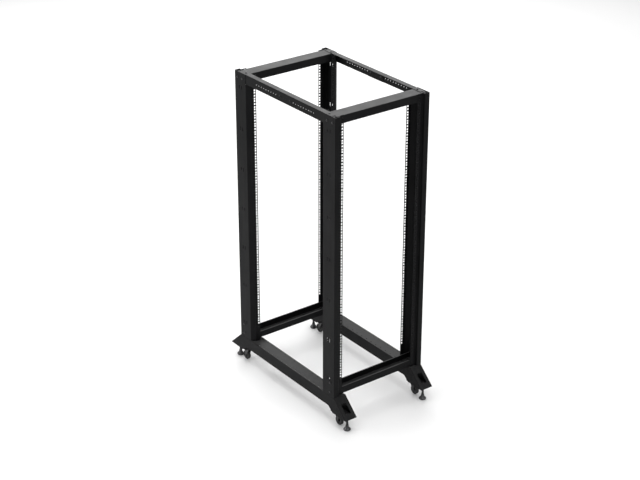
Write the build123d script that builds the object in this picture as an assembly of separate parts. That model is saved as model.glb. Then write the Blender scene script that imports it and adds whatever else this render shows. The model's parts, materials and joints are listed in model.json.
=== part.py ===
from build123d import *
import os

os.makedirs("parts", exist_ok=True)

# Open-frame four-post rack for 19-inch equipment.
# Millimetres. Origin on the floor under the middle of the rack.
# +X to the right, -Y to the front, +Z up. The rack is symmetric in X and Y.

# ---- 19-inch hole pattern ----
UNIT = 44.45                        # height of one rack unit
UNITS = 32
PATTERN_TOP = 1670.45               # upper edge of the topmost unit
UNIT_HOLES = (6.35, 22.225, 38.1)   # hole centres below the upper edge of a unit
SQUARE = 9.5                        # cage-nut hole
HOLE_X = 232.55                     # half of the hole spacing across the rack

# ---- posts ----
RAIL_Y = 400.0                      # equipment mounting face
HALF_W = 285.0                      # outer side face
POST_BOTTOM, POST_TOP = 165.0, 1672.0
STRIP_IN, STRIP_OUT = 225.0, 255.0  # mounting strip, across
NOSE_Y = 414.0                      # outer flange stands 14 mm proud of the strip
BEVEL_Y = 320.0                     # where the web turns inwards
TAIL_X, TAIL_Y, TAIL_IN = 264.0, 299.0, 237.0
TAIL_HOLE_X = 245.5                 # second column of square holes
SHEET = 2.0                         # folded steel sheet
BEND = 2.6                          # fold radius on the skin side
SLOT_TOP, SLOT_PITCH, SLOT_PAIRS = 1593.0, 222.25, 7
SLOT_W, SLOT_H = 5.5, 21.0

# ---- cross members ----
CROSS_Y = 398.0                     # outer wall of the cross members
CROSS_IN, LOW_CROSS_IN = 323.0, 320.0   # inner wall, top and bottom
CROSS_HALF = 279.5
TOP_CROSS_Z = (1629.0, 1669.0)
LOW_CROSS_FRONT, LOW_CROSS_BACK = 203.0, 200.0
LOW_CROSS_HALF = 279.5
LIP = 7.0                           # lip folded inwards along the open edges

# ---- telescoping side rails along the top ----
RAIL_X = (253.0, 283.0)
RAIL_Z = (1621.0, 1671.0)
RAIL_END, RAIL_TOP_END = 404.0, 380.0   # ends of the wall and of the top flange
JOIN_Y = 46.0                       # front half ends here, rear half begins
TONGUE_Y = -66.0                    # rear half reaches this far inside the front half
NEST = 0.2                          # play between the nested halves
RAIL_HOLE, RAIL_HOLE_Z = 5.0, 1644.5
RAIL_HOLES, RAIL_HOLE_FIRST, RAIL_HOLE_PITCH = 24, -243.0, 20.478
CLAMP_Y, CLAMP_Z = (-48.5, 33.5), 1647.0

# ---- side beams with their legs ----
BEAM_IN = 212.0
BEAM_TOP, BEAM_BOTTOM = 165.0, 103.0
BEAM_SHEET = 2.5
LEG_TOP_Y, LEG_TIP_Y, LEG_HEEL_Y, LEG_ROOT_Y = 414.0, 508.0, 400.0, 366.0
LEG_TIP_Z, LEG_BOTTOM = 79.0, 76.0
WINDOW_W, WINDOW_Y = 33.0, (443.0, 487.0)
FOOT_X, FOOT_Y = 248.5, 476.4
BEAM_HOLES, BEAM_HOLE_FIRST, BEAM_HOLE_PITCH = 14, -274.0, 40.4
BEAM_HOLE_R, BEAM_HOLE_X = 3.0, (275.0, 224.0)

# ---- levelling feet ----
STEM_R = 6.0
THREAD_PLAY = 0.05
STEM_TOP = 95.0
PAD_R = 19.0
SOLE_T = 2.0

# ---- casters ----
CASTER_Y = 400.0                    # swivel axis
TRAIL = 14.0                        # wheel axle sits this far towards the leg tip
WHEEL_R, WHEEL_W = 25.0, 18.0
WHEEL_Z = 26.5                      # axle height, wheel just clear of the floor
KINGPIN_R, AXLE_R = 5.0, 4.0
PLAY = 0.05                         # running clearance
GAP = 0.3                           # side clearance between turning faces

# ---- screws ----
M6, M6_HOLE, M8, M8_HOLE = 3.0, 3.3, 4.0, 4.4
SIDE_TOP_Y, SIDE_TOP_Z = (349.0, 390.0), 1642.0
TOP_SCREWS = ((265.0, 342.0), (265.0, 390.0))
SIDE_LOW_Y, SIDE_LOW_Z = 380.0, (188.0, 242.0)
SHOE_SCREWS = ((243.0, 345.0), (243.0, 376.0))

CORNERS = {"front_left": (-1, 1), "front_right": (1, 1), "rear_left": (-1, -1), "rear_right": (1, -1)}


def place(shape, side, end):
    """Shape built for the right front corner, mirrored to another corner."""
    if side < 0:
        shape = mirror(shape, about=Plane.YZ)
    if end < 0:
        shape = mirror(shape, about=Plane.XZ)
    return shape


def folded(path, thickness, radius):
    """Section of a folded sheet: the path is its skin and the metal lies to the left."""
    with BuildSketch() as section:
        with BuildLine():
            FilletPolyline(*path, radius=radius)
            offset(amount=thickness, side=Side.LEFT)
        make_face()
    return section.sketch


def along_y(section, y0, y1):
    """Section drawn as (X, Z), extruded from y0 to y1."""
    return Pos(0, y0, 0) * extrude(Plane.XZ * section, amount=-(y1 - y0))


def along_x(section, x0, x1):
    """Section drawn as (Y, Z), extruded from x0 to x1."""
    return Pos(x0, 0, 0) * extrude(Plane.YZ * section, amount=x1 - x0)


def box(x0, x1, y0, y1, z0, z1):
    """Block between two corners."""
    return Pos((x0 + x1) / 2, (y0 + y1) / 2, (z0 + z1) / 2) * Box(x1 - x0, y1 - y0, z1 - z0)


def rod(x, y, z0, z1, radius):
    """Upright cylinder."""
    return Pos(x, y, (z0 + z1) / 2) * Cylinder(radius, z1 - z0)


def drill_x(at, radius, length):
    """Cylinder centred on a point, lying along X."""
    return Pos(*at) * Rot(0, 90, 0) * Cylinder(radius, length)


def hexagon(flats, height):
    """Hexagonal prism from z = 0 up, with flats facing Y."""
    return extrude(RegularPolygon(flats / 2, 6, major_radius=False), amount=height)


def button_screw(radius, length):
    """Button-head screw: the head rests on z = 0 and the shank points down."""
    head = Cylinder(radius * 1.75, radius * 1.1, align=(Align.CENTER, Align.CENTER, Align.MIN))
    head = fillet(head.edges().group_by(Axis.Z)[-1], radius * 0.7)
    shank = Cylinder(radius, length, align=(Align.CENTER, Align.CENTER, Align.MAX))
    socket = Pos(0, 0, radius * 0.45) * hexagon(radius * 1.33, radius)
    return head + chamfer(shank.edges().group_by(Axis.Z)[0], radius * 0.2) - socket


def hex_nut(radius, height):
    """Nut standing on z = 0 with a plain bore."""
    return hexagon(radius * 3.33, height) - Cylinder(radius, height * 3)


def save(node, *solids):
    """Write one node, as a group when it has several solids."""
    shape = solids[0] if len(solids) == 1 else Compound(children=list(solids))
    export_step(shape, f"parts/{node}.step")


def unit_heights():
    """Height of every square hole."""
    return [PATTERN_TOP - UNIT * unit - step for unit in range(UNITS) for step in UNIT_HOLES]


def post():
    """Folded upright with two columns of square holes."""
    skin = [(STRIP_IN, -RAIL_Y), (STRIP_OUT, -RAIL_Y), (STRIP_OUT, -NOSE_Y), (HALF_W, -NOSE_Y),
            (HALF_W, -BEVEL_Y), (TAIL_X, -TAIL_Y), (TAIL_IN, -TAIL_Y)]
    section = folded(skin, SHEET, BEND)
    body = Pos(0, 0, POST_BOTTOM) * extrude(section, amount=POST_TOP - POST_BOTTOM)
    cuts = []
    for z in unit_heights():
        cuts.append(Pos(HOLE_X, -RAIL_Y + SHEET / 2, z) * Box(SQUARE, 3 * SHEET, SQUARE))
        cuts.append(Pos(TAIL_HOLE_X, -TAIL_Y - SHEET / 2, z) * Box(SQUARE, 3 * SHEET, SQUARE))
    slot = along_x(SlotOverall(SLOT_H, SLOT_W, rotation=90), HALF_W - 5, HALF_W + 5)
    for pair in range(SLOT_PAIRS):
        for y in (-375.0, -355.0):
            cuts.append(Pos(0, y, SLOT_TOP - SLOT_PITCH * pair) * slot)
    cuts += [drill_x((HALF_W, -y, SIDE_TOP_Z), M6_HOLE, 10) for y in SIDE_TOP_Y]
    cuts += [drill_x((HALF_W, -SIDE_LOW_Y, z), M6_HOLE, 10) for z in SIDE_LOW_Z]
    # the inner folds are notched where the side rail passes
    y0, y1 = -BEVEL_Y - 2.5, -TAIL_Y + 5
    cuts.append(box(RAIL_X[1] - SHEET - 0.5, HALF_W + 5, y0, y1, RAIL_Z[0] - 0.5, POST_TOP + 5))
    cuts.append(box(TAIL_IN - 5, HALF_W + 5, y0, y1, RAIL_Z[1] - SHEET - 0.5, POST_TOP + 5))
    return body.cut(*cuts)


def top_crossbeam():
    """Inverted channel across the top, its ends reaching under the side rails."""
    skin = [(-CROSS_IN, TOP_CROSS_Z[0]), (-CROSS_IN, TOP_CROSS_Z[1]),
            (-CROSS_Y, TOP_CROSS_Z[1]), (-CROSS_Y, TOP_CROSS_Z[0])]
    body = along_x(folded(skin, SHEET, BEND), -CROSS_HALF, CROSS_HALF)
    for side in (-1, 1):
        body -= [rod(side * x, -y, 1650, 1680, M6_HOLE) for x, y in TOP_SCREWS]
    return body


def bottom_crossbeam():
    """Upright channel across the bottom, standing on the side beams."""
    skin = [(-CROSS_Y + LIP, LOW_CROSS_FRONT), (-CROSS_Y, LOW_CROSS_FRONT), (-CROSS_Y, BEAM_TOP),
            (-LOW_CROSS_IN, BEAM_TOP), (-LOW_CROSS_IN, LOW_CROSS_BACK),
            (-LOW_CROSS_IN - LIP, LOW_CROSS_BACK)]
    body = along_x(folded(skin, SHEET, BEND), -LOW_CROSS_HALF, LOW_CROSS_HALF)
    for side in (-1, 1):
        body -= [rod(side * x, -y, 160, 175, M8_HOLE) for x, y in SHOE_SCREWS]
    return body


def rail_section(inset, thickness):
    """Angle section of a side rail: upright wall and top flange, inset from the outer size."""
    wall, top = RAIL_X[1] - inset, RAIL_Z[1] - inset
    return folded([(wall, RAIL_Z[0]), (wall, top), (RAIL_X[0], top)], thickness, thickness + 0.6)


def rail_holes():
    """Row of small square holes through the wall of a side rail."""
    heights = (RAIL_HOLE_Z - RAIL_HOLE / 2, RAIL_HOLE_Z + RAIL_HOLE / 2)
    rows = (RAIL_HOLE_FIRST + RAIL_HOLE_PITCH * k for k in range(RAIL_HOLES))
    return [box(RAIL_X[1] - 8, RAIL_X[1] + 5, y - RAIL_HOLE / 2, y + RAIL_HOLE / 2, *heights)
            for y in rows]


def drill_rail(body, end):
    """Cut back the top flange at a corner and drill the rail for its screws."""
    reach = sorted((end * RAIL_TOP_END, end * (RAIL_END + 10)))
    cuts = [box(RAIL_X[0] - 5, RAIL_X[1] - SHEET, *reach, RAIL_Z[0] - 5, RAIL_Z[1] + 5)]
    cuts += [drill_x((RAIL_X[1], end * y, SIDE_TOP_Z), M6_HOLE, 10) for y in SIDE_TOP_Y]
    cuts += [rod(x, end * y, 1650, 1680, M6_HOLE) for x, y in TOP_SCREWS[:1]]
    cuts += [drill_x((RAIL_X[1], y, CLAMP_Z), M6_HOLE, 12) for y in CLAMP_Y]
    return body.cut(*cuts, *rail_holes())


def top_rail_front():
    """Outer half of the telescoping right rail."""
    return drill_rail(along_y(rail_section(0, SHEET), -RAIL_END, JOIN_Y - 0.5), -1)


def top_rail_rear():
    """Inner half: full-size angle with a tongue set in to slide inside the front half."""
    inset = SHEET + NEST
    body = along_y(rail_section(0, SHEET), JOIN_Y + 0.5, RAIL_END)
    body += along_y(rail_section(0, SHEET + inset), JOIN_Y + 0.5, JOIN_Y + 6.5)
    body += along_y(rail_section(inset, SHEET), TONGUE_Y, JOIN_Y + 3)
    return drill_rail(body, 1)


def side_beam():
    """Right side beam: inverted channel whose ends run down into the two legs."""
    outline = [(-LEG_TOP_Y, BEAM_TOP), (LEG_TOP_Y, BEAM_TOP), (LEG_TIP_Y, LEG_TIP_Z),
               (LEG_TIP_Y, LEG_BOTTOM), (LEG_HEEL_Y, LEG_BOTTOM), (LEG_ROOT_Y, BEAM_BOTTOM),
               (-LEG_ROOT_Y, BEAM_BOTTOM), (-LEG_HEEL_Y, LEG_BOTTOM), (-LEG_TIP_Y, LEG_BOTTOM),
               (-LEG_TIP_Y, LEG_TIP_Z)]
    body = along_x(make_face(Polyline(*outline, close=True)), BEAM_IN, HALF_W)
    edges = [e for e in body.edges().filter_by(Axis.Y) if e.center().Z > BEAM_TOP - 1]
    edges += [e for e in body.edges()
              if LEG_TIP_Z + 5 < e.center().Z < BEAM_TOP - 5 and e.length > 120
              and abs(e.center().Y) > LEG_TOP_Y]
    body = fillet(edges, BEND)
    t = BEAM_SHEET
    hollow = [(-LEG_TOP_Y + 1, BEAM_TOP - t), (LEG_TOP_Y - 1, BEAM_TOP - t),
              (LEG_TIP_Y - t, LEG_TIP_Z - 1.1), (LEG_TIP_Y - t, 50),
              (-LEG_TIP_Y + t, 50), (-LEG_TIP_Y + t, LEG_TIP_Z - 1.1)]
    body -= along_x(make_face(Polyline(*hollow, close=True)), BEAM_IN + t, HALF_W - t)
    slope_y, slope_z = LEG_TIP_Y - LEG_TOP_Y, BEAM_TOP - LEG_TIP_Z
    mid_y = sum(WINDOW_Y) / 2
    mid_z = BEAM_TOP - (mid_y - LEG_TOP_Y) * slope_z / slope_y
    long = (WINDOW_Y[1] - WINDOW_Y[0]) * (slope_y**2 + slope_z**2) ** 0.5 / slope_y
    tilt = -Vector(0, slope_y, 0).get_angle(Vector(0, slope_y, slope_z))
    for end in (-1, 1):
        body -= Pos(FOOT_X, end * mid_y, mid_z) * Rot(end * tilt, 0, 0) * Box(WINDOW_W, long, 12)
    holes = [rod(x, BEAM_HOLE_FIRST + BEAM_HOLE_PITCH * k, 155, 170, BEAM_HOLE_R)
             for x in BEAM_HOLE_X for k in range(BEAM_HOLES)]
    holes += [rod(x, end * y, 155, 170, M8_HOLE) for x, y in SHOE_SCREWS for end in (-1, 1)]
    return body.cut(*holes)


def leg_plate():
    """Tray welded inside a leg, carrying the foot and the caster."""
    x0, x1 = BEAM_IN + BEAM_SHEET, HALF_W - BEAM_SHEET
    skin = [(x0, 96), (x0, LEG_BOTTOM), (x1, LEG_BOTTOM), (x1, 96)]
    body = along_y(folded(skin, 3.0, 4.0), -503.0, -382.0)
    body -= box(200, 300, -520, -484, LEG_BOTTOM + 3.0, 120)
    body -= rod(FOOT_X, -FOOT_Y, 70, 90, STEM_R + 0.5)
    return body - rod(FOOT_X, -CASTER_Y, 70, 90, KINGPIN_R + 0.3)


def post_shoe():
    """Angle inside the foot of a post, screwed to the post and down into the side beam."""
    body = box(228, 283, -394.5, -323.5, 167, 170) + box(280, 283, -394.5, -323.5, 167, 258)
    holes = [drill_x((281, -SIDE_LOW_Y, z), M6_HOLE, 12) for z in SIDE_LOW_Z]
    holes += [rod(x, -y, 160, 175, M8_HOLE) for x, y in SHOE_SCREWS]
    return body.cut(*holes)


def corner_bracket():
    """Angle inside a top corner, joining post, side rail and crossbeam."""
    body = box(240, 281, -394.5, -328, 1664, 1667) + box(278, 281, -394.5, -328, 1626, 1667)
    holes = [drill_x((279, -y, SIDE_TOP_Z), M6_HOLE, 12) for y in SIDE_TOP_Y]
    holes += [rod(x, -y, 1650, 1680, M6_HOLE) for x, y in TOP_SCREWS]
    return body.cut(*holes)


def foot_stem():
    """Threaded stem with a bell-shaped pad and a neck with two spanner flats."""
    outline = [(0, SOLE_T), (PAD_R - 1.0, SOLE_T), (PAD_R, SOLE_T + 1.0), (PAD_R, SOLE_T + 4.0),
               (PAD_R - 3.0, 9.5), (11.0, 16.0), (8.5, 21.0), (8.5, 26.0), (7.5, 27.0),
               (7.5, 30.0), (STEM_R, 31.5), (STEM_R, STEM_TOP - 1.5), (STEM_R - 1.5, STEM_TOP),
               (0, STEM_TOP)]
    body = revolve(Plane.XZ * make_face(Polyline(*outline, close=True)), Axis.Z)
    flats = [box(7.0 * s if s > 0 else -20, 20 if s > 0 else -7.0, -20, 20, 21.5, 25.5) for s in (-1, 1)]
    return Pos(FOOT_X, -FOOT_Y, 0) * (body - flats[0] - flats[1])


def foot_sole():
    """Rubber disc under the pad."""
    disc = Cylinder(PAD_R - 1.5, SOLE_T, align=(Align.CENTER, Align.CENTER, Align.MIN))
    return Pos(FOOT_X, -FOOT_Y, 0) * chamfer(disc.edges().group_by(Axis.Z)[0], 0.5)


def thread_nut(z, height):
    """Nut on the foot's stem; the stem turns through it."""
    body = hexagon(19.0, height) - Cylinder(STEM_R + THREAD_PLAY, 4 * height)
    return Pos(FOOT_X, -FOOT_Y, z) * body


CASTER_TOP = LEG_BOTTOM             # casters hang under the leg plate
FORK_TOP = 70.7
FORK_SHEET = 2.5
PIN_Z = 60.0


def caster_head():
    """Swivel cup fixed under the leg plate."""
    outline = [(KINGPIN_R + 0.3, CASTER_TOP), (16.0, CASTER_TOP), (17.5, CASTER_TOP - 1.5),
               (17.5, FORK_TOP + GAP), (KINGPIN_R + 0.3, FORK_TOP + GAP)]
    body = revolve(Plane.XZ * make_face(Polyline(*outline, close=True)), Axis.Z)
    return Pos(FOOT_X, -CASTER_Y, 0) * body


def kingpin():
    """Bolt that carries the swivel, with its head above the leg plate and a collar below."""
    pin = rod(0, 0, PIN_Z, 86.0, KINGPIN_R) + Pos(0, 0, LEG_BOTTOM + 3.0) * hexagon(16.0, 6.0)
    collar = rod(0, 0, PIN_Z + 1.0, FORK_TOP - FORK_SHEET - GAP, 8.0)
    return Pos(FOOT_X, -CASTER_Y, 0) * (pin + chamfer(collar.edges().group_by(Axis.Z)[0], 0.8))


def caster_fork():
    """Folded fork: round crown under the cup and two cheeks down to the axle."""
    inner = WHEEL_W / 2 + GAP
    outer = inner + FORK_SHEET
    crown = rod(0, 0, FORK_TOP - FORK_SHEET, FORK_TOP, 16.5)
    crown += box(-outer, outer, -16, 2, FORK_TOP - FORK_SHEET, FORK_TOP)
    cheek = [(12.0, FORK_TOP), (12.0, FORK_TOP - 7.0), (-TRAIL + 8.0, WHEEL_Z - 4.0),
             (-TRAIL + 5.0, WHEEL_Z - 8.0), (-TRAIL - 5.0, WHEEL_Z - 8.0),
             (-TRAIL - 8.0, WHEEL_Z - 4.0), (-16.0, FORK_TOP - 8.0), (-16.0, FORK_TOP)]
    face = make_face(Polyline(*cheek, close=True))
    body = crown
    for x0 in (-outer, inner):
        body += along_x(face, x0, x0 + FORK_SHEET)
    body -= rod(0, 0, FORK_TOP - 10, FORK_TOP + 10, KINGPIN_R + PLAY)
    body -= drill_x((0, -TRAIL, WHEEL_Z), AXLE_R, 60)
    return Pos(FOOT_X, -CASTER_Y, 0) * body


def caster_axle():
    """Riveted axle through the fork cheeks."""
    reach = WHEEL_W / 2 + GAP + FORK_SHEET
    pin = drill_x((0, 0, 0), AXLE_R, 2 * reach)
    for s in (-1, 1):
        pin += drill_x((s * (reach + 0.9), 0, 0), 5.6, 1.8)
    return Pos(FOOT_X, -CASTER_Y - TRAIL, WHEEL_Z) * pin


def wheel_hub():
    """Plastic wheel centre with a bored boss and a dished web."""
    half = WHEEL_W / 2
    outline = [(AXLE_R + PLAY, -half), (8.0, -half), (8.0, -half + 4.5), (15.0, -half + 5.5),
               (17.0, -half + 1.0), (19.0, -half + 1.0), (19.0, half - 1.0), (17.0, half - 1.0),
               (15.0, half - 5.5), (8.0, half - 4.5), (8.0, half), (AXLE_R + PLAY, half)]
    body = revolve(Plane.XZ * make_face(Polyline(*outline, close=True)), Axis.Z)
    return Pos(FOOT_X, -CASTER_Y - TRAIL, WHEEL_Z) * Rot(0, 90, 0) * body


def wheel_tyre():
    """Moulded tread around the wheel centre."""
    half = WHEEL_W / 2 - 0.4
    ring = Cylinder(WHEEL_R, 2 * half)
    ring = fillet(ring.edges().filter_by(GeomType.CIRCLE), 3.5) - Cylinder(19.0, 3 * half)
    return Pos(FOOT_X, -CASTER_Y - TRAIL, WHEEL_Z) * Rot(0, 90, 0) * ring


def side_screws(ys, zs, length, grip):
    """Screws entering the outer side face, with nuts behind the grip."""
    screws, nuts = [], []
    for y in ys:
        for z in zs:
            screws.append(Pos(HALF_W, -y, z) * Rot(0, 90, 0) * button_screw(M6, length))
            nuts.append(Pos(HALF_W - grip, -y, z) * Rot(0, -90, 0) * Rot(0, 0, 90) * hex_nut(M6, 5.0))
    return screws, nuts


# ---- frame members ----
for name, (side, end) in CORNERS.items():
    save(f"post_{name}", place(post(), side, end))
    save(f"leg_plate_{name}", place(leg_plate(), side, end))
for name, end in (("front", 1), ("rear", -1)):
    save(f"top_crossbeam_{name}", place(top_crossbeam(), 1, end))
    save(f"bottom_crossbeam_{name}", place(bottom_crossbeam(), 1, end))
for name, side in (("left", -1), ("right", 1)):
    save(f"top_rail_{name}_front", place(top_rail_front(), side, 1))
    save(f"top_rail_{name}_rear", place(top_rail_rear(), side, 1))
    save(f"side_beam_{name}", place(side_beam(), side, 1))

# ---- brackets, screws and nuts, four corners in each group ----
rail_screws, rail_nuts = side_screws(SIDE_TOP_Y, (SIDE_TOP_Z,), 14.0, 7.0)
shoe_screws, shoe_nuts = side_screws((SIDE_LOW_Y,), SIDE_LOW_Z, 12.0, 5.0)
top_screws = [Pos(x, -y, z) * button_screw(M6, z - 1657.0)
              for (x, y), z in zip(TOP_SCREWS, (RAIL_Z[1], TOP_CROSS_Z[1]))]
top_nuts = [Pos(x, -y, 1659.0) * hex_nut(M6, 5.0) for x, y in TOP_SCREWS]
beam_screws = [Pos(x, -y, 170.0) * button_screw(M8, 15.0) for x, y in SHOE_SCREWS]
beam_nuts = [Pos(x, -y, 156.0) * hex_nut(M8, 6.5) for x, y in SHOE_SCREWS]
groups = {
    "post_shoes": [post_shoe()],
    "corner_brackets": [corner_bracket()],
    "side_screws": rail_screws + shoe_screws,
    "side_nuts": rail_nuts + shoe_nuts,
    "top_screws": top_screws,
    "top_nuts": top_nuts,
    "beam_screws": beam_screws,
    "beam_nuts": beam_nuts,
    "foot_lock_nuts": [thread_nut(LEG_BOTTOM - 7.0, 7.0)],
    "foot_weld_nuts": [thread_nut(LEG_BOTTOM + 3.0, 9.0)],
    "caster_heads": [caster_head()],
    "kingpins": [kingpin()],
}
for name, solids in groups.items():
    save(name, *[place(s, side, end) for side, end in CORNERS.values() for s in solids])

# the clamp screws enter from inside and end flush with the outside of the rail
grip = 2 * SHEET + NEST
clamps = [Pos(RAIL_X[1] - grip, y, CLAMP_Z) * Rot(0, -90, 0) * button_screw(M6, grip) for y in CLAMP_Y]
save("clamp_screws", *[place(s, side, 1) for side in (-1, 1) for s in clamps])

# ---- moving pieces ----
for name, (side, end) in CORNERS.items():
    save(f"foot_stem_{name}", place(foot_stem(), side, end))
    save(f"foot_sole_{name}", place(foot_sole(), side, end))
    save(f"caster_fork_{name}", place(caster_fork(), side, end))
    save(f"caster_axle_{name}", place(caster_axle(), side, end))
    save(f"wheel_hub_{name}", place(wheel_hub(), side, end))
    save(f"wheel_tyre_{name}", place(wheel_tyre(), side, end))
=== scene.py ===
import json
import math

import bpy
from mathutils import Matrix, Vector


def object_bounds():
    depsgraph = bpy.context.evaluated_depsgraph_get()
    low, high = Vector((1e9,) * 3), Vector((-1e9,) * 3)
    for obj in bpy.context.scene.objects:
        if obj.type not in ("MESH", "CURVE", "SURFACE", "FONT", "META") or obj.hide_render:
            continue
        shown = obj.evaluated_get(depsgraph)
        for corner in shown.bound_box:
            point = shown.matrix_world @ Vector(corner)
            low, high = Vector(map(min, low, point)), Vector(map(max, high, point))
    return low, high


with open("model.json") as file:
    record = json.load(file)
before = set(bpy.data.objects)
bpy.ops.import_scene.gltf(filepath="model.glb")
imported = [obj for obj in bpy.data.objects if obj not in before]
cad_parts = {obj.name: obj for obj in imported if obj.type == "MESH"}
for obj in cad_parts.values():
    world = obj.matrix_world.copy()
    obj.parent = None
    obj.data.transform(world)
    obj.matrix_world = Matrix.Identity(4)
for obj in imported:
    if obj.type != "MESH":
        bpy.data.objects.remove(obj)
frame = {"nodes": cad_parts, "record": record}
cad_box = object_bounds()

# ---- metres; the rack stands on the origin, front towards -Y ----
THREAD_PITCH = 0.00175
SPANNER_Z = 0.0305            # the thread of a foot starts above this height
FLOOR_REACH = 40.0
WORLD_STRENGTH = 0.55
CAMERA_AT = Vector((-4.3485, -5.7206, 4.2948))
LOOKING = Vector((0.5387, 0.7205, -0.4367))
LENS_MM, SENSOR_MM = 87.6, 36.0


# ---------------------------------------------------------------- node helpers
class Shader:
    """A material under construction, with short ways to add and link nodes."""

    def __init__(self, name):
        self.material = bpy.data.materials.new(name)
        self.material.use_nodes = True
        self.tree = self.material.node_tree
        self.surface = self.tree.nodes["Principled BSDF"]
        self.place = self.add("ShaderNodeTexCoord").outputs["Object"]

    def add(self, kind, **settings):
        node = self.tree.nodes.new(kind)
        for key, value in settings.items():
            setattr(node, key, value)
        return node

    def link(self, source, target):
        self.tree.links.new(source, target)

    def fixed(self, **values):
        """Constant values straight on the surface shader's sockets."""
        for key, value in values.items():
            self.surface.inputs[key.replace("_", " ")].default_value = value

    def noise(self, scale, detail=4.0, rough=0.55, stretch=(1, 1, 1)):
        """Value of a noise pattern; scale is in cells per metre."""
        mapping = self.add("ShaderNodeMapping")
        mapping.inputs["Scale"].default_value = stretch
        self.link(self.place, mapping.inputs["Vector"])
        node = self.add("ShaderNodeTexNoise")
        node.inputs["Scale"].default_value = scale
        node.inputs["Detail"].default_value = detail
        node.inputs["Roughness"].default_value = rough
        self.link(mapping.outputs["Vector"], node.inputs["Vector"])
        return node.outputs["Fac"]

    def spread(self, value, low, high, start=0.0, end=1.0):
        """Value remapped from start..end to low..high, clamped."""
        node = self.add("ShaderNodeMapRange")
        for key, number in (("From Min", start), ("From Max", end), ("To Min", low), ("To Max", high)):
            node.inputs[key].default_value = number
        self.link(value, node.inputs["Value"])
        return node.outputs["Result"]

    def math(self, operation, a, b):
        node = self.add("ShaderNodeMath", operation=operation)
        for socket, value in zip(node.inputs, (a, b)):
            if isinstance(value, (int, float)):
                socket.default_value = value
            else:
                self.link(value, socket)
        return node.outputs[0]

    def blend(self, factor, first, second):
        """Colour mixed from first to second; each is a colour or a socket."""
        node = self.add("ShaderNodeMix", data_type="RGBA")
        self.link(factor, node.inputs["Factor"])
        colours = [s for s in node.inputs if s.type == "RGBA"]
        for socket, value in zip(colours, (first, second)):
            if isinstance(value, tuple):
                socket.default_value = (*value, 1.0)
            else:
                self.link(value, socket)
        return [s for s in node.outputs if s.type == "RGBA"][0]

    def edges(self, width, start=0.02, end=0.35):
        """1 along sharp edges, 0 on the flats."""
        bevel = self.add("ShaderNodeBevel", samples=4)
        bevel.inputs["Radius"].default_value = width
        normal = self.add("ShaderNodeNewGeometry").outputs["Normal"]
        dot = self.add("ShaderNodeVectorMath", operation="DOT_PRODUCT")
        self.link(bevel.outputs["Normal"], dot.inputs[0])
        self.link(normal, dot.inputs[1])
        return self.spread(self.math("SUBTRACT", 1.0, dot.outputs["Value"]), 0.0, 1.0, start, end)

    def facing_up(self, start=0.55, end=0.95):
        """1 on faces that look up, where dust settles."""
        split = self.add("ShaderNodeSeparateXYZ")
        self.link(self.add("ShaderNodeNewGeometry").outputs["Normal"], split.inputs[0])
        return self.spread(split.outputs["Z"], 0.0, 1.0, start, end)

    def bumps(self, *layers):
        """Stack of bump layers, each (height socket, strength, distance in metres)."""
        normal = None
        for height, strength, distance in layers:
            node = self.add("ShaderNodeBump")
            node.inputs["Strength"].default_value = strength
            node.inputs["Distance"].default_value = distance
            self.link(height, node.inputs["Height"])
            if normal:
                self.link(normal, node.inputs["Normal"])
            normal = node.outputs["Normal"]
        self.link(normal, self.surface.inputs["Normal"])

    def colour(self, socket):
        self.link(socket, self.surface.inputs["Base Color"])

    def roughness(self, socket):
        self.link(socket, self.surface.inputs["Roughness"])


# ---------------------------------------------------------------- materials
def powder_coat(name, base, light, dust, specular=0.06):
    """Fine textured black powder coat: orange peel, handling marks, light dust, and lighter edges that are
    partly worn coat and partly a painted highlight.
    """
    m = Shader(name)
    broad = m.noise(5.0, 5.0)
    speck = m.noise(1400.0, 2.0)
    smear = m.noise(22.0, 6.0, 0.65, (1.0, 1.0, 0.18))
    tone = m.blend(m.spread(broad, 0.0, 1.0, 0.35, 0.65), base, light)
    tone = m.blend(m.spread(speck, 0.0, 0.35, 0.52, 0.72), tone, tuple(2.2 * c for c in light))
    film = m.math("MULTIPLY", m.facing_up(), m.spread(smear, 0.25, 0.8, 0.3, 0.75))
    tone = m.blend(film, tone, dust)
    # Edges lightened in patches: partly worn coat, partly a painted highlight along folds and sheet edges.
    wear_and_painted_highlight = m.math("MULTIPLY", m.edges(0.0011), m.spread(m.noise(60.0, 4.0), 0.15, 0.75, 0.42, 0.6))
    m.colour(m.blend(wear_and_painted_highlight, tone, (0.075, 0.077, 0.08)))
    m.roughness(m.math("ADD", m.spread(smear, 0.36, 0.5, 0.3, 0.7), m.math("MULTIPLY", film, 0.07)))
    m.fixed(Specular_IOR_Level=specular)
    m.bumps((m.noise(620.0, 3.0), 0.16, 0.0004), (m.noise(14.0, 2.0), 0.05, 0.002))
    return m.material


def plated_steel(name, light, dark, roughness=0.32, thread=False):
    """Black zinc plate: cloudy tone, fine turning marks, a little soiling, and an optional screw thread."""
    m = Shader(name)
    cloud = m.noise(90.0, 5.0)
    tone = m.blend(m.spread(cloud, 0.0, 1.0, 0.35, 0.68), light, dark)
    grime = m.spread(m.noise(260.0, 5.0, 0.7), 0.0, 0.65, 0.56, 0.74)
    m.colour(m.blend(grime, tone, (0.03, 0.028, 0.026)))
    m.roughness(m.spread(cloud, roughness - 0.08, roughness + 0.16, 0.3, 0.7))
    m.fixed(Metallic=0.9)
    layers = [(m.noise(900.0, 2.0, 0.5, (1.0, 1.0, 4.0)), 0.12, 0.0003)]
    if thread:
        split = m.add("ShaderNodeSeparateXYZ")
        m.link(m.place, split.inputs[0])
        height = split.outputs["Z"]
        turn = m.math("SINE", m.math("MULTIPLY", height, 2 * math.pi / THREAD_PITCH), 0.0)
        above = m.math("GREATER_THAN", height, SPANNER_Z)
        layers.append((m.math("MULTIPLY", turn, above), 0.9, 0.0006))
    m.bumps(*layers)
    return m.material


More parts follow.
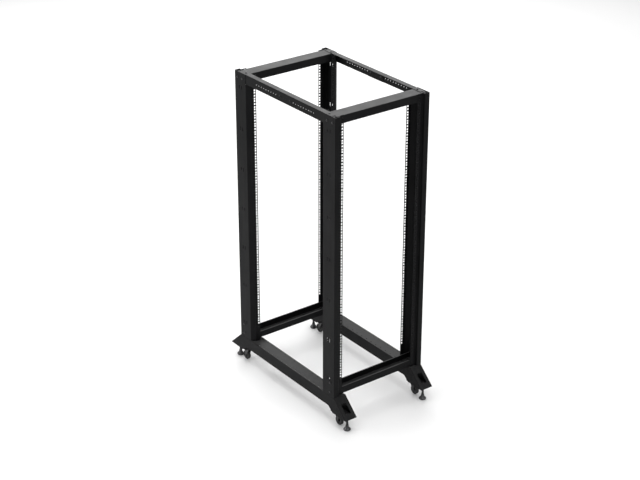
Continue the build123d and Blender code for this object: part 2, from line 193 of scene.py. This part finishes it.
def black_oxide(name):
    """Blackened screws: oily dark steel, rubbed bright on the rims."""
    m = Shader(name)
    tone = m.blend(m.spread(m.noise(300.0), 0.0, 1.0, 0.35, 0.65), (0.022, 0.022, 0.024), (0.05, 0.05, 0.052))
    m.colour(m.blend(m.math("MULTIPLY", m.edges(0.0006), 0.6), tone, (0.22, 0.22, 0.22)))
    m.roughness(m.spread(m.noise(420.0, 4.0), 0.28, 0.46, 0.35, 0.65))
    m.fixed(Metallic=0.65)
    m.bumps((m.noise(1500.0, 2.0), 0.1, 0.0002))
    return m.material


def moulded(name, base, light, roughness, grain=900.0):
    """Moulded black plastic or rubber with a fine grain and scuffs."""
    m = Shader(name)
    scuff = m.spread(m.noise(170.0, 6.0, 0.7, (0.3, 1.0, 1.0)), 0.0, 0.7, 0.56, 0.75)
    tone = m.blend(m.spread(m.noise(45.0), 0.0, 1.0, 0.35, 0.65), base, light)
    m.colour(m.blend(scuff, tone, tuple(3.0 * c for c in light)))
    m.roughness(m.spread(m.noise(200.0, 4.0), roughness - 0.08, roughness + 0.12, 0.35, 0.65))
    m.fixed(Specular_IOR_Level=0.4)
    m.bumps((m.noise(grain, 3.0), 0.2, 0.0004))
    return m.material


def studio_floor(name):
    """Plain pale floor with a barely visible mottle."""
    m = Shader(name)
    m.colour(m.blend(m.noise(1.2, 3.0), (0.86, 0.86, 0.86), (0.9, 0.9, 0.9)))
    m.fixed(Roughness=0.85, Specular_IOR_Level=0.1)
    return m.material


MATERIALS = {
    "black_coat": powder_coat("black_powder_coat", (0.0042, 0.0043, 0.0046), (0.0072, 0.0073, 0.0077),
                              (0.055, 0.055, 0.055)),
    "bracket_coat": powder_coat("bracket_powder_coat", (0.005, 0.0051, 0.0054), (0.008, 0.008, 0.0084),
                                (0.04, 0.04, 0.04)),
    "black_screws": black_oxide("black_oxide_steel"),
    "dark_hardware": plated_steel("black_zinc", (0.06, 0.06, 0.062), (0.03, 0.03, 0.031), 0.34),
    "threaded": plated_steel("threaded_black_zinc", (0.09, 0.09, 0.093), (0.04, 0.04, 0.042), 0.3, True),
    "wheel_plastic": moulded("black_nylon", (0.012, 0.012, 0.013), (0.02, 0.02, 0.021), 0.42),
    "tyre": moulded("tread_rubber", (0.012, 0.012, 0.012), (0.02, 0.02, 0.02), 0.6, 1300.0),
    "sole_rubber": moulded("sole_rubber", (0.014, 0.014, 0.014), (0.022, 0.022, 0.022), 0.68),
}


def dress(node, name, slot):
    """Give a CAD node the finish of its slot; the feet get the threaded one."""
    kind = "threaded" if name.startswith("foot_stem") else slot
    node.data.materials.clear()
    node.data.materials.append(MATERIALS[kind])


for entry in frame["record"]["subparts"]:
    dress(frame["nodes"][entry["node"]], entry["node"], entry["material_slot"])


# ---------------------------------------------------------------- studio
def sheet_mesh(name, corners, material):
    """One flat quad."""
    mesh = bpy.data.meshes.new(name)
    mesh.from_pydata(corners, [], [(0, 1, 2, 3)])
    mesh.materials.append(material)
    sheet = bpy.data.objects.new(name, mesh)
    bpy.context.scene.collection.objects.link(sheet)
    return sheet


def soft_box(name, position, target, size, power):
    """Rectangular area light aimed at a point."""
    light = bpy.data.lights.new(name, "AREA")
    light.shape = "RECTANGLE"
    light.size, light.size_y = size
    light.energy = power
    lamp = bpy.data.objects.new(name, light)
    lamp.location = position
    lamp.rotation_euler = (Vector(target) - Vector(position)).to_track_quat("-Z", "Y").to_euler()
    bpy.context.scene.collection.objects.link(lamp)


floor = sheet_mesh("floor",
                   [(x * FLOOR_REACH, y * FLOOR_REACH, 0.0) for x, y in ((-1, -1), (1, -1), (1, 1), (-1, 1))],
                   studio_floor("pale_floor"))

height = cad_box[1][2]
soft_box("overhead", (-0.6, 0.6, 4.6), (0, 0, 0.6), (4.0, 4.0), 115)
soft_box("back", (3.4, 6.0, 4.2), (0, 0, height), (6.0, 3.2), 320)
soft_box("left", (-5.0, 2.6, 2.6), (0, 0, 0.8), (3.0, 3.4), 100)
soft_box("front_fill", (-1.0, -4.6, 5.4), (0.4, -1.6, 0), (5.0, 4.0), 120)

world = bpy.data.worlds.new("studio")
world.use_nodes = True
world.node_tree.nodes["Background"].inputs["Color"].default_value = (1.0, 1.0, 1.0, 1.0)
world.node_tree.nodes["Background"].inputs["Strength"].default_value = WORLD_STRENGTH
bpy.context.scene.world = world
bpy.context.scene.view_settings.view_transform = "Standard"

# ---------------------------------------------------------------- camera
camera_data = bpy.data.cameras.new("camera")
camera_data.lens = LENS_MM
camera_data.sensor_width = SENSOR_MM
camera_data.shift_x = 0.002
camera_data.clip_end = 200.0
camera = bpy.data.objects.new("camera", camera_data)
camera.location = CAMERA_AT
camera.rotation_euler = LOOKING.to_track_quat("-Z", "Y").to_euler()
bpy.context.scene.collection.objects.link(camera)
bpy.context.scene.camera = camera
